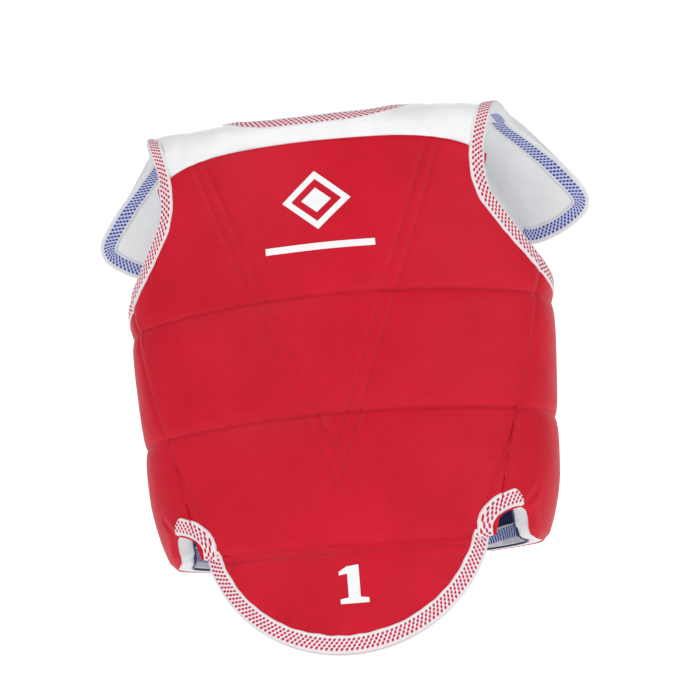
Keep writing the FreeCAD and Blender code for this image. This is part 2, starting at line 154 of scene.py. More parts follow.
def trunk(around, up):
    """The trunk shell.

    Its flanks are a little wider at the ribs than at the waist, the wings' lower corners draw in, and
    above the chest the cloth leans back and runs over the shoulder.
    """
    x, y = on_oval(around)
    length = np.abs(around)
    flank = smooth(length, *FLANK_START) * (1 - smooth(length, *FLANK_END))
    rise = np.clip(up, WING_FOOT, RIB_UP) - WAIST_UP
    taper = RIB_FLARE * rise * (1 - smooth(up, RIB_UP, ARMPIT_UP)) * flank
    hem = HEM_DRAW * np.clip((HEM_TOP - up) / HEM_DEPTH, 0, 1) ** 1.6
    hem = hem * smooth(length, 150 * MM, 200 * MM) * (1 - smooth(length, 300 * MM, 370 * MM))
    drawn_in = 1 - hem / np.hypot(x, y)
    x, y = x * (1 + taper) * drawn_in, y * drawn_in
    lean = np.clip((up - LEAN_START) / STRAP_RUN, 0, 1.4)
    y = np.where(lean > 0, bezier(y, y, -LEAN_BACK, 0 * y, lean), y)
    z = np.where(lean > 0, bezier(LEAN_START, LEAN_START + LEAN_RISE, SHOULDER_TOP, SHOULDER_TOP, lean), up)
    return np.stack([x, y, z], -1)


def lobe(across, down):
    """A rear shoulder lobe: back from the shoulder hinge, round a bend and down the wearer's back."""
    flat = np.minimum(down, SHOULDER_GAP)
    bend = LOBE_BEND * LOBE_TURN
    angle = np.clip((down - SHOULDER_GAP) / LOBE_BEND, 0, LOBE_TURN)
    fall = np.maximum(down - SHOULDER_GAP - bend, 0)
    y = flat + LOBE_BEND * np.sin(angle) + fall * math.cos(LOBE_TURN)
    z = SHOULDER_TOP - LOBE_BEND * (1 - np.cos(angle)) - fall * math.sin(LOBE_TURN)
    return np.stack([across + 0 * down, y, z], -1)


def normals(surface, a, b):
    """Outward unit normals of a surface."""
    step = 0.5 * MM
    along = surface(a + step, b) - surface(a - step, b)
    rise = surface(a, b + step) - surface(a, b - step)
    out = np.cross(along, rise)
    return out / np.linalg.norm(out, axis=-1, keepdims=True)


def laid(surface, a, b, height):
    """Points at a height above a surface."""
    return surface(a, b) + normals(surface, a, b) * np.asarray(height)[..., None]


# --- the side seam lies in the plane through its hinge line, square to the shell ---
SEAM_PLACE = np.array(JOINTS["left_wing_fold"]["pos_m"])
SEAM_AXIS = -np.array(JOINTS["left_wing_fold"]["axis"])


def bearing(around):
    if around < FRONT_RUN:
        return around / FRONT_RADIUS
    return TANGENT + (around - FRONT_RUN) / SIDE_RADIUS


SEAM_BEARING = (bearing(SEAM_FOOT_ARC) + bearing(SEAM_HEAD_ARC)) / 2
SEAM_OUT = np.array([math.sin(SEAM_BEARING), -math.cos(SEAM_BEARING), 0])
SEAM_NORMAL = np.cross(SEAM_AXIS, SEAM_OUT)
SEAM_NORMAL = SEAM_NORMAL / np.linalg.norm(SEAM_NORMAL)
SEAM_NORMAL = SEAM_NORMAL * np.sign(SEAM_NORMAL[1])


def seam_around(up):
    """Where the left side seam crosses each height."""
    steps = np.linspace(80, 260, 181) * MM
    up = np.atleast_1d(np.asarray(up, float))
    found = np.empty(len(up))
    for i, height in enumerate(up):
        side = (trunk(steps, 0 * steps + height) - SEAM_PLACE) @ SEAM_NORMAL
        found[i] = np.interp(0, side, steps)
    return found


SEAM_HEAD_ARC = float(seam_around(SEAM_HEAD)[0])
SEAM_FOOT_ARC = float(seam_around(GROIN_SEAM)[0])


# --- outlines, as (around, up) or (across, down) ---
def through(points):
    """A smooth line through a few points, with even steps."""
    p = np.array(points, float)
    p = np.vstack([2 * p[0] - p[1], p, 2 * p[-1] - p[-2]])
    t = np.linspace(0, 1, 24, endpoint=False)[:, None]
    runs = []
    for i in range(1, len(p) - 2):
        a, b, c, d = p[i - 1:i + 3]
        runs.append(0.5 * (2 * b + (c - a) * t + (2 * a - 5 * b + 4 * c - d) * t ** 2
                           + (3 * b - a - 3 * c + d) * t ** 3))
    return evenly(np.vstack(runs + [p[-2:-1]]), LINE_STEP)


def evenly(line, spacing=None, count=None):
    """The same line with even steps."""
    line = np.asarray(line, float)
    length = np.concatenate([[0], np.cumsum(np.linalg.norm(np.diff(line, axis=0), axis=1))])
    count = count or max(2, int(round(length[-1] / spacing)) + 1)
    at = np.linspace(0, length[-1], count)
    return np.stack([np.interp(at, length, line[:, k]) for k in range(2)], -1)


ARMHOLE = through([(SEAM_HEAD_ARC, SEAM_HEAD)] + [(around * MM, up * MM) for around, up in (
    (187, 360), (172, 380), (160, 398), (156, 416), (158, 436), (165, 462), (175, 505))] + [
    (185.5 * MM, HINGE_UP)])
NECK_UP = YOKE_SEAM + 32 * MM
NECK = through([(0, NECK_UP)] + [(around * MM, NECK_UP + rise * MM) for around, rise in (
    (30, 1), (50, 5), (63, 12.5), (70, 24), (74, 42))] + [(85.5 * MM, HINGE_UP)])


def armhole_around(up):
    order = np.argsort(ARMHOLE[:, 1])
    return np.interp(up, ARMHOLE[order, 1], ARMHOLE[order, 0])


def red_top(around):
    """The front panel's top edge: level across the chest, then down to the armholes."""
    return YOKE_SEAM - 8 * MM * np.minimum(np.abs(around) / (137 * MM), 1.12) ** 6


def wing_foot_line():
    """The wing's lower edge, from the side seam over the leg notch to the rear corner."""
    notch = [(around * MM, up * MM) for around, up in (
        (133, 100), (138, 106), (147, 111), (158, 114), (168, 115), (178, 112), (186, 104), (193, 95))]
    floor = [(206 * MM, WING_FOOT + 1.5 * MM), (222 * MM, WING_FOOT), (300 * MM, WING_FOOT),
             (REAR_ARC - REAR_CORNER, WING_FOOT)]
    eased = through([(SEAM_FOOT_ARC, GROIN_SEAM)] + notch + floor)
    return np.vstack([eased, corner(REAR_ARC - REAR_CORNER, WING_FOOT + REAR_CORNER, -90, -45)])


def corner(around, up, start, end):
    """A stretch of a rounded rear corner."""
    angle = np.radians(np.linspace(start, end, 9))
    return np.stack([around + REAR_CORNER * np.cos(angle), up + REAR_CORNER * np.sin(angle)], -1)


def wing_top_line():
    """The wing's upper edge, from the side seam to the rear corner."""
    dip = through([(SEAM_HEAD_ARC, SEAM_HEAD), (227 * MM, 332.5 * MM), (262 * MM, WING_TOP),
                   (300 * MM, WING_TOP), (REAR_ARC - REAR_CORNER, WING_TOP)])
    return np.vstack([dip[:-1], corner(REAR_ARC - REAR_CORNER, WING_TOP - REAR_CORNER, 90, 45)])


def wing_rear_line():
    """The wing's rear edge, upwards."""
    return np.vstack([corner(REAR_ARC - REAR_CORNER, WING_FOOT + REAR_CORNER, -45, 0),
                      corner(REAR_ARC - REAR_CORNER, WING_TOP - REAR_CORNER, 0, 45)])


FLAP_RADIUS = 138 * MM
FLAP_REACH = math.acos(1 - GROIN_SEAM / FLAP_RADIUS)
FLAP_POINTS = 160


def flap_line(start=1.0, end=-1.0):
    """The groin flap's free edge, an arc of a circle, from the wearer's left to the right."""
    angle = np.linspace(start, end, FLAP_POINTS) * FLAP_REACH
    return np.stack([FLAP_RADIUS * np.sin(angle), FLAP_RADIUS * (1 - np.cos(angle))], -1)


LOBE_OUTER = ((170, 0), (173, 14), (183, 32), (198, 54), (212, 72), (225, 88), (236, 104), (239, 116),
              (234, 128), (218, 140), (200, 148), (183, 152))
LOBE_INNER = ((168, 149), (158, 138), (148, 118), (130, 80), (112, 52), (97, 30), (87, 12), (84, 0))


def lobe_line():
    """A lobe's free edge from the hinge, down its outer side, round its foot and up its inner side."""
    return through([(across * MM, down * MM) for across, down in LOBE_OUTER + LOBE_INNER])


def coons(bottom, top, left, right, columns, rows):
    """A grid that fills four edges.  bottom and top run alike, and so do left and right."""
    bottom, top = evenly(bottom, count=columns), evenly(top, count=columns)
    left, right = evenly(left, count=rows), evenly(right, count=rows)
    u = np.linspace(0, 1, columns)[None, :, None]
    v = np.linspace(0, 1, rows)[:, None, None]
    edges = (1 - v) * bottom[None] + v * top[None] + (1 - u) * left[:, None] + u * right[:, None]
    corners = ((1 - u) * (1 - v) * bottom[0] + u * (1 - v) * bottom[-1]
               + (1 - u) * v * top[0] + u * v * top[-1])
    return edges - corners


# --- relief: how the padding swells and where stitches pull it in ---
def ripple(a, b, wavelength, seed, stretch=1.0):
    """Smooth irregular waves between about -1 and 1."""
    random = np.random.default_rng(seed)
    total = 0 * a
    for _ in range(7):
        angle = random.uniform(0, math.pi)
        turns = 2 * math.pi / (wavelength * random.uniform(0.75, 1.4))
        phase = random.uniform(0, 2 * math.pi)
        total = total + np.sin(turns * (a * math.cos(angle) + b * math.sin(angle) * stretch) + phase)
    return total / 3.2


def pinch(distance, depth, width):
    """A furrow that a row of stitches leaves."""
    return -depth * np.exp(-(distance / width) ** 2)


def distance_to(line, a, b):
    """How far points lie from a line of close points."""
    shape = np.shape(a)
    points = np.stack([np.ravel(a), np.ravel(b)], -1)
    start, step = line[:-1], np.diff(line, axis=0)
    size = np.maximum((step ** 2).sum(1), 1e-12)
    best = np.full(len(points), np.inf)
    for p, d, n in zip(start, step, size):
        t = np.clip(((points - p) @ d) / n, 0, 1)
        best = np.minimum(best, ((points - p - t[:, None] * d) ** 2).sum(1))
    return np.sqrt(best).reshape(shape)


def quilt_up(around, level):
    """Height of a quilted row, which sags a little towards the flanks."""
    return level - 4 * MM * (np.abs(around) / HALF_WIDTH) ** 2


SIDE_ROW = through([(around * MM, up * MM) for around, up in (
    (109, 93), (131, 128), (151, 165), (168, 203), (184, 255), (196, 300), (208, 345))])
NOTCH_FOLD = through([(174 * MM, 119 * MM), (192 * MM, 133 * MM), (212 * MM, 142 * MM)])
V_TIP = (0, 141 * MM)
V_HEAD = (114 * MM, float(red_top(114 * MM)))
V_GAP = 11 * MM
TOPSTITCH_DROP = 6.5 * MM


def v_rows():
    """The two parallel rows of the V on the wearer's left, outer row first."""
    tip, head = np.array(V_TIP), np.array(V_HEAD)
    run = head - tip
    lift = V_GAP * math.hypot(*run) / run[0]
    inner_tip = tip + [0, lift]
    inner_head = inner_tip + run * (float(red_top(100 * MM)) - inner_tip[1]) / run[1]
    return [np.array([tip, head]), np.array([inner_tip, inner_head])]


def band_swell(around, up, levels):
    """Each foam band swells between the seams above and below it."""
    swell = 0 * up
    for under, over in zip(levels[:-1], levels[1:]):
        a, b = quilt_up(around, under), quilt_up(around, over)
        t = np.clip((up - a) / (b - a), 0, 1)
        swell = swell + np.where((up >= a) & (up <= b), 1 - np.abs(2 * t - 1) ** 3.4, 0)
    return swell


LEVELS = (GROIN_SEAM, LOWER_QUILT, UPPER_QUILT, YOKE_SEAM + 20 * MM)
BAND_SWELL = 1.8 * MM
LINING_SHARE = 0.6

# Each furrow is a depth and a width.
QUILT_BROAD, QUILT_SHARP = (1.0 * MM, 7 * MM), (1.1 * MM, 1.6 * MM)
SIDE_BROAD, SIDE_SHARP = (0.7 * MM, 6 * MM), (0.9 * MM, 1.4 * MM)
V_BROAD, V_SHARP = (0.45 * MM, 4 * MM), (0.6 * MM, 1.4 * MM)
GROIN_FURROW = (1.8 * MM, 4 * MM)
FOLD_FURROW = (1.6 * MM, 3.5 * MM)


def front_relief(around, up):
    """Height of the front and wing covers above the plain shell."""
    left = np.abs(around)
    height = BAND_SWELL * band_swell(left, up, LEVELS)
    for level in (LOWER_QUILT, UPPER_QUILT):
        gap = up - quilt_up(left, level)
        height = height + pinch(gap, *QUILT_BROAD) + pinch(gap, *QUILT_SHARP)
    seam = distance_to(evenly(SIDE_ROW, 8 * MM), left, up)
    height = height + pinch(seam, *SIDE_BROAD) + pinch(seam, *SIDE_SHARP)
    height = height + pinch(up - GROIN_SEAM, *GROIN_FURROW) * (1 - smooth(left, 126 * MM, 136 * MM))
    dying_out = 60 * smooth(left, 185 * MM, 215 * MM) * MM
    height = height + pinch(distance_to(NOTCH_FOLD, left, up) + dying_out, *FOLD_FURROW)
    for row in v_rows():
        gap = distance_to(evenly(row, 8 * MM), left, up)
        height = height + pinch(gap, *V_BROAD) + pinch(gap, *V_SHARP)
    return height + 0.4 * MM * ripple(around, up, 80 * MM, 3)


def flap_relief(around, up):
    """Height of the groin flap's cover above the plain shell."""
    drop = GROIN_SEAM - up
    t = np.clip(drop / GROIN_SEAM, 0, 1)
    height = BAND_SWELL * (1 - np.abs(2 * t - 1) ** 2.4) + pinch(drop, *GROIN_FURROW)
    height = height + pinch(drop - TOPSTITCH_DROP, 0.8 * MM, 1.6 * MM)
    return height + 0.3 * MM * ripple(around, up, 45 * MM, 5)


PUCKER_REACH = 11 * MM


def puckers(edge_line, a, b, seed, depth):
    """Short gathers that a tape sewn round a curve leaves in the cover beside it."""
    shape = np.shape(a)
    points = np.stack([np.ravel(a), np.ravel(b)], -1)
    line = evenly(edge_line, 3 * MM)
    run = np.concatenate([[0], np.cumsum(np.linalg.norm(np.diff(line, axis=0), axis=1))])
    best = np.full(len(points), np.inf)
    place = np.zeros(len(points))
    for p, at in zip(line, run):
        d = ((points - p) ** 2).sum(1)
        near = d < best
        best[near] = d[near]
        place[near] = at
    gap = np.sqrt(best) - TAPE_WIDTH
    fade = np.clip(gap / (2 * MM), 0, 1) * np.exp(-np.maximum(gap, 0) / PUCKER_REACH)
    wave = ripple(place, 0 * place, 13 * MM, seed) + 0.6 * ripple(place, 0 * place, 29 * MM, seed + 1)
    return (depth * fade * wave).reshape(shape)


# --- mesh making ---
def new_object(name, points, faces, uv=None):
    """A mesh in the scene, with a UV map if each point is given its place on it."""
    mesh = bpy.data.meshes.new(name)
    mesh.from_pydata([tuple(p) for p in points], [], faces)
    if uv is not None:
        layer = mesh.uv_layers.new(name="UVMap")
        loops = np.empty(len(mesh.loops), int)
        mesh.loops.foreach_get("vertex_index", loops)
        layer.data.foreach_set("uv", np.asarray(uv, np.float32)[loops].ravel())
    mesh.validate()
    piece = bpy.data.objects.new(name, mesh)
    bpy.context.scene.collection.objects.link(piece)
    return piece


def grid_faces(rows, columns, wrap=False):
    """The four-sided faces of a grid of points, closed round its columns if it wraps."""
    faces = []
    for i in range(rows - 1):
        for j in range(columns - 1 + wrap):
            k = (j + 1) % columns
            faces.append((i * columns + j, i * columns + k, (i + 1) * columns + k, (i + 1) * columns + j))
    return faces


def sheet_piece(name, points, uv, material, inward=False):
    """A cover with real thickness from a grid of points; its outer face is the grid."""
    rows, columns = points.shape[:2]
    faces = grid_faces(rows, columns)
    if inward:
        faces = [f[::-1] for f in faces]
    piece = new_object(name, points.reshape(-1, 3), faces, uv.reshape(-1, 2))
    finish_piece(piece, material)
    use_modifier(piece, "SOLIDIFY", thickness=SKIN, offset=-1.0, use_even_offset=False)
    crisp_rims(piece)
    return piece


def crisp_rims(piece):
    """Smooth shading that stops at the turn of a rim."""
    bpy.ops.object.select_all(action="DESELECT")
    bpy.context.view_layer.objects.active = piece
    piece.select_set(True)
    bpy.ops.object.shade_smooth_by_angle(angle=math.radians(50))
    piece.select_set(False)


def use_modifier(piece, kind, **settings):
    """Add one modifier, set it and apply it."""
    bpy.ops.object.select_all(action="DESELECT")
    bpy.context.view_layer.objects.active = piece
    piece.select_set(True)
    bpy.ops.object.modifier_add(type=kind)
    modifier = piece.modifiers[-1]
    for key, value in settings.items():
        setattr(modifier, key, value)
    bpy.ops.object.modifier_apply(modifier=modifier.name)
    piece.select_set(False)


def finish_piece(piece, material):
    piece.data.materials.clear()
    piece.data.materials.append(material)
    piece.data.polygons.foreach_set("use_smooth", [True] * len(piece.data.polygons))


def mirrored(piece, name):
    """The same piece on the wearer's right."""
    twin = piece.copy()
    twin.data = piece.data.copy()
    twin.name = name
    twin.data.name = name
    bpy.context.scene.collection.objects.link(twin)
    count = len(twin.data.vertices)
    places = np.empty(count * 3, np.float32)
    twin.data.vertices.foreach_get("co", places)
    places = places.reshape(-1, 3) * [-1, 1, 1]
    twin.data.vertices.foreach_set("co", places.astype(np.float32).ravel())
    twin.data.flip_normals()
    twin.data.update()
    return twin


# --- materials ---
class Wire:
    """A shader value that takes part in ordinary arithmetic."""

    def __init__(self, sheet, socket):
        self.sheet = sheet
        self.socket = socket

    def maths(self, operation, *values):
        return self.sheet.node("ShaderNodeMath", {"operation": operation}, *values)

    def __add__(self, other):
        return self.maths("ADD", self, other)

    def __sub__(self, other):
        return self.maths("SUBTRACT", self, other)

    def __rsub__(self, other):
        return self.maths("SUBTRACT", other, self)

    def __mul__(self, other):
        return self.maths("MULTIPLY", self, other)

    def __truediv__(self, other):
        return self.maths("DIVIDE", self, other)

    __radd__ = __add__
    __rmul__ = __mul__

    def whole(self):
        return self.maths("FLOOR", self)

    def part(self):
        return self.maths("FRACT", self)

    def size(self):
        return self.maths("ABSOLUTE", self)

    def power(self, exponent):
        return self.maths("POWER", self, exponent)

    def sine(self):
        return self.maths("SINE", self)

    def step(self, low, high):
        """0 below low, 1 above high, smooth between."""
        return self.sheet.node("ShaderNodeMapRange", {"interpolation_type": "SMOOTHSTEP"},
                               self, low, high, 0.0, 1.0)


class Sheet:
    """A material's node sheet, with its main shader ready."""

    def __init__(self, name, roughness, **fixed):
        self.material = bpy.data.materials.new(name)
        self.material.use_nodes = True
        self.tree = self.material.node_tree
        self.shader = self.tree.nodes["Principled BSDF"]
        self.shader.inputs["Roughness"].default_value = roughness
        for key, value in fixed.items():
            self.shader.inputs[key.replace("_", " ")].default_value = value

    def node(self, kind, settings, *values, output=0, **named):
        made = self.tree.nodes.new(kind)
        for key, value in settings.items():
            setattr(made, key, value)
        for key, value in list(enumerate(values)) + [(k.replace("_", " "), v) for k, v in named.items()]:
            if isinstance(value, Wire):
                self.tree.links.new(value.socket, made.inputs[key])
            elif value is not None:
                made.inputs[key].default_value = value
        return Wire(self, made.outputs[output])

    def place(self):
        return self.node("ShaderNodeTexCoord", {}, output="Object")

    def pattern(self):
        """The piece's own lengths along and across, in metres."""
        uv = self.node("ShaderNodeUVMap", {"uv_map": "UVMap"})
        split = self.node("ShaderNodeSeparateXYZ", {}, uv)
        return split, Wire(self, split.socket.node.outputs[1])

    def noise(self, scale, detail, rough=0.5):
        return self.node("ShaderNodeTexNoise", {}, Vector=self.place(), Scale=scale, Detail=detail,
                         Roughness=rough)

    def cells(self, scale, feature):
        return self.node("ShaderNodeTexVoronoi", {"feature": feature}, Vector=self.place(), Scale=scale,
                         output="Distance")

    def mixed(self, share, first, second):
        made = self.tree.nodes.new("ShaderNodeMix")
        made.data_type = "RGBA"
        for socket, value in ((made.inputs[0], share), (made.inputs[6], first), (made.inputs[7], second)):
            if isinstance(value, Wire):
                self.tree.links.new(value.socket, socket)
            else:
                socket.default_value = value
        return Wire(self, made.outputs[2])

    def bump(self, height, distance, strength=1.0):
        made = self.tree.nodes.new("ShaderNodeBump")
        made.inputs["Strength"].default_value = strength
        made.inputs["Distance"].default_value = distance
        self.tree.links.new(height.socket, made.inputs["Height"])
        return Wire(self, made.outputs[0])

    def feed(self, **sockets):
        for key, wire in sockets.items():
            self.tree.links.new(wire.socket, self.shader.inputs[key.replace("_", " ")])
        return self.material


def rgb(red, green, blue):
    return (red, green, blue, 1.0)


def faux_leather(name, deep, light, roughness=0.42, grain=0.00009, shine=0.3):
    """Coated cloth: fine pebbled grain, faint mottling, a little scuffing that dulls it."""
    sheet = Sheet(name, roughness, Specular_IOR_Level=shine)
    mottle = sheet.noise(14.0, 3.0, 0.55)
    fine = sheet.noise(160.0, 2.0, 0.6)
    tone = (mottle * 0.75 + fine * 0.25).step(0.32, 0.68)
    pebbles = sheet.cells(900.0, "SMOOTH_F1")
    creases = sheet.noise(420.0, 3.0, 0.6)
    surface = pebbles * 0.7 + creases * 0.5
    scuffs = sheet.noise(38.0, 4.0, 0.7).step(0.45, 0.75)
    return sheet.feed(Base_Color=sheet.mixed(tone, deep, light),
                      Roughness=scuffs * 0.12 + (roughness - 0.04),
                      Normal=sheet.bump(surface, grain))


RED = faux_leather("red_coated_cover", rgb(0.51, 0.005, 0.019), rgb(0.58, 0.007, 0.026), 0.5,
                  shine=0.14)
NAVY = faux_leather("navy_coated_cover", rgb(0.010, 0.018, 0.075), rgb(0.014, 0.026, 0.10))
WHITE = faux_leather("white_coated_cover", rgb(0.80, 0.815, 0.82), rgb(0.87, 0.88, 0.885), 0.40, 0.00007)
LINING = faux_leather("pale_lining", rgb(0.79, 0.80, 0.805), rgb(0.85, 0.86, 0.865), 0.45, 0.00005)


def dotted_tape():
    """White knitted tape.

    Four staggered rows of dots, red on its front face and blue on its back face, run between plain
    borders, and its fold is a ribbed edge.  Across the tape, 0 is the middle of the fold.
    """
    sheet = Sheet("dotted_tape", 0.8, Specular_IOR_Level=0.25)
    along, across = sheet.pattern()
    pitch, row, first = 4.5 * MM, 2.6 * MM, 4.3 * MM
    knit = sheet.noise(1900.0, 2.0, 0.6)
    reach = across.size() - first
    rows = reach / row
    slant = rows.part() * 0.22
    cell_u = ((along / pitch + rows.whole() * 0.5 + slant).part() - 0.5) * pitch
    cell_v = (rows.part() - 0.5) * row
    spread = ((cell_u.size().power(2.6) + cell_v.size().power(2.6)).power(1 / 2.6)
              + (knit - 0.5) * 0.0007)
    dot = 1.0 - spread.step(1.02 * MM, 1.38 * MM)
    band = reach.step(-0.1 * MM, 0.1 * MM) * (1.0 - reach.step(4 * row - 0.1 * MM, 4 * row + 0.1 * MM))
    face = across.step(-0.1 * MM, 0.1 * MM)
    cloth = sheet.mixed(knit, rgb(0.72, 0.71, 0.73), rgb(0.86, 0.85, 0.87))
    ink = sheet.mixed(face, rgb(0.045, 0.060, 0.36), rgb(0.56, 0.014, 0.055))
    tint = sheet.mixed(face, rgb(0.50, 0.56, 0.80), rgb(0.84, 0.72, 0.76))
    ground = sheet.mixed(band * 0.75, cloth, tint)
    dotted = sheet.mixed(dot * band, ground, ink)
    ribs = (along * (2 * math.pi / (1.6 * MM))).sine() * 0.5 + 0.5
    rim = 1.0 - across.size().step(3.4 * MM, 4.2 * MM)
    hem = reach.step(4 * row + 1.2 * MM, 4 * row + 1.5 * MM)
    shade = sheet.mixed(ribs * rim * 0.3, dotted, rgb(0.60, 0.60, 0.63))
    weave = ribs * rim * 0.8 + knit * 0.3 + (1.0 - dot) * band * 0.7 + hem * 0.5
    return sheet.feed(Base_Color=shade, Normal=sheet.bump(weave, 0.0005, 0.8))


TAPE = dotted_tape()


def plain_tape(name, colour, dark):
    """Plain woven edge tape with a fine cross rib."""
    sheet = Sheet(name, 0.85)
    along, across = sheet.pattern()
    warp = (along * (2 * math.pi / (1.1 * MM))).sine() * 0.5 + 0.5
    weft = (across * (2 * math.pi / (0.9 * MM))).sine() * 0.5 + 0.5
    fuzz = sheet.noise(1500.0, 3.0, 0.6)
    weave = warp * weft
    return sheet.feed(Base_Color=sheet.mixed(weave * 0.5 + fuzz * 0.5, dark, colour),
                      Normal=sheet.bump(weave + fuzz * 0.6, 0.0003, 0.7))


WEBBING = plain_tape("white_webbing", rgb(0.86, 0.86, 0.86), rgb(0.66, 0.66, 0.67))


def thread(name, dark, light):
    sheet = Sheet(name, 0.6)
    twist = sheet.noise(2600.0, 1.0, 0.5)
    return sheet.feed(Base_Color=sheet.mixed(twist, dark, light), Normal=sheet.bump(twist, 0.0002))


RED_THREAD = thread("dark_red_thread", rgb(0.22, 0.004, 0.012), rgb(0.36, 0.008, 0.02))


def print_ink():
    sheet = Sheet("white_print", 0.38)
    speck = sheet.noise(700.0, 3.0, 0.6)
    return sheet.feed(Base_Color=sheet.mixed(speck, rgb(0.80, 0.80, 0.80), rgb(0.90, 0.90, 0.90)),
                      Normal=sheet.bump(speck, 0.00006))


INK = print_ink()


# --- pieces beyond a hinge ---
def bends(piece, side):
    """A piece that is sewn to the front panel at one hinge has its placement baked into its mesh and stays
    where it was built, whatever side is named.
    """
    if side == "groin_flap":
        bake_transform(piece)
    elif side.endswith("wing"):
        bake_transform(piece)
    else:
        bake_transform(piece)
    return piece


# --- front panel ---
GRID = 2.2 * MM
HIDDEN = 2.5 * MM    # how far a cover's edge stops short of the panel's edge, inside the tape


def front_grid(step=GRID):
    """Rows of points over the front panel, from side seam to side seam and armhole to armhole.

    The rows are closer together along the two quilted lines.
    """
    rows = int((YOKE_SEAM - GROIN_SEAM) / step) + 1
    columns = int(2 * SEAM_HEAD_ARC / step) | 1
    level = np.linspace(GROIN_SEAM, YOKE_SEAM, rows)
    for quilt in (LOWER_QUILT, UPPER_QUILT):
        fine = quilt + np.arange(-7, 4, 0.35 * step / MM) * MM
        level = np.concatenate([level[(level < fine[0]) | (level > fine[-1])], fine])
    level.sort()
    reach = np.where(level <= SEAM_HEAD, seam_around(level), armhole_around(level) - HIDDEN)
    u = np.linspace(-1, 1, columns)
    around = reach[:, None] * u[None, :]
    arch = np.clip((level - 386 * MM) / (YOKE_SEAM - 386 * MM), 0, 1)[:, None]
    up = level[:, None] - (YOKE_SEAM - red_top(around)) * arch
    return around, up


def front_panel():
    around, up = front_grid()
    left = np.abs(around)
    height = front_relief(around, up) + pinch(up - red_top(around), 1.2 * MM, 2 * MM)
    height = height + puckers(ARMHOLE, left, up, 11, 0.5 * MM)
    cover = sheet_piece("front_cover", laid(trunk, around, up, height), np.stack([around, up], -1), RED)
    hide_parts("front_outer_cover", "front_foam_lower", "front_foam_middle", "front_foam_upper")
    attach(cover, "front")
    around, up = front_grid(4 * MM)
    inner = laid(trunk, around, up, -PAD - LINING_SHARE * front_relief(around, up))
    lining = sheet_piece("front_inner_cover_navy", inner, np.stack([around, up], -1), NAVY, inward=True)
    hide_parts("front_inner_cover", "groin_seam", "left_side_seam", "right_side_seam")
    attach(lining, "front")


front_panel()


# --- wings ---
NARROW_LIP = 4.6 * MM
TUCK_DEPTH = 4.2 * MM
TUCK_REACH = 8 * MM
TAPE_LAP = 0.8 * MM
TAPE_WOBBLE = 0.35 * MM


def wide_lip(around, up):
    """1 where the wing's tape shows a full lip: on the top, the rear and the front of the leg notch."""
    notch_front = (1 - smooth(around, 156 * MM, 174 * MM)) * (1 - smooth(up, 150 * MM, 200 * MM))
    rear = smooth(around, 345 * MM, 370 * MM)
    top = smooth(up, 150 * MM, 230 * MM)
    return np.maximum(np.maximum(notch_front, rear), top)


def tucked(around, up, free):
    """How far the cover dips at this distance from a free edge to pass under a narrow lip."""
    return TUCK_DEPTH * np.clip(1 - free / TUCK_REACH, 0, 1) ** 2 * (1 - wide_lip(around, up))


def wing_under(around, up):
    """How far the wing's lining stands off the pad's plain inner face."""
    return LINING_SHARE * front_relief(around, up)


def wing_grid():
    """Rows of points over the left wing, from the side seam to its rear edge."""
    height = np.linspace(GROIN_SEAM, SEAM_HEAD, 60)
    seam = np.stack([seam_around(height), height], -1)
    columns, rows = int(255 * MM / GRID), int(250 * MM / GRID)
    return coons(wing_foot_line(), wing_top_line(), seam, wing_rear_line(), columns, rows)


def both(piece, side_body, nodes=()):
    """Make a left piece's right twin, hide the CAD parts the two replace, and attach both to the front or
    bake them in place.
    """
    for side in ("left", "right"):
        made = piece if side == "left" else mirrored(piece, piece.name.replace("left", "right"))
        if nodes:
            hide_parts(*[side + "_" + node for node in nodes])
        if side_body == "front":
            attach(made, "front")
        else:
            bends(made, side + "_" + side_body)


def wing_pair():
    grid = wing_grid()
    around, up = grid[..., 0], grid[..., 1]
    rim = np.vstack([wing_foot_line(), wing_rear_line(), wing_top_line()[::-1]])
    free = distance_to(evenly(rim, 5 * MM), around, up)
    height = front_relief(around, up) - tucked(around, up, free) - 0.4 * MM * (free < 5 * MM)
    cover = sheet_piece("left_wing_cover", laid(trunk, around, up, height), grid, RED)
    inner = laid(trunk, around, up, -PAD - wing_under(around, up))
    lining = sheet_piece("left_wing_inner_cover_navy", inner, grid, NAVY, inward=True)
    both(cover, "wing",
         ["wing_outer_cover", "wing_foam_lower", "wing_foam_middle", "wing_foam_upper"])
    both(lining, "wing", ["wing_inner_cover"])


wing_pair()


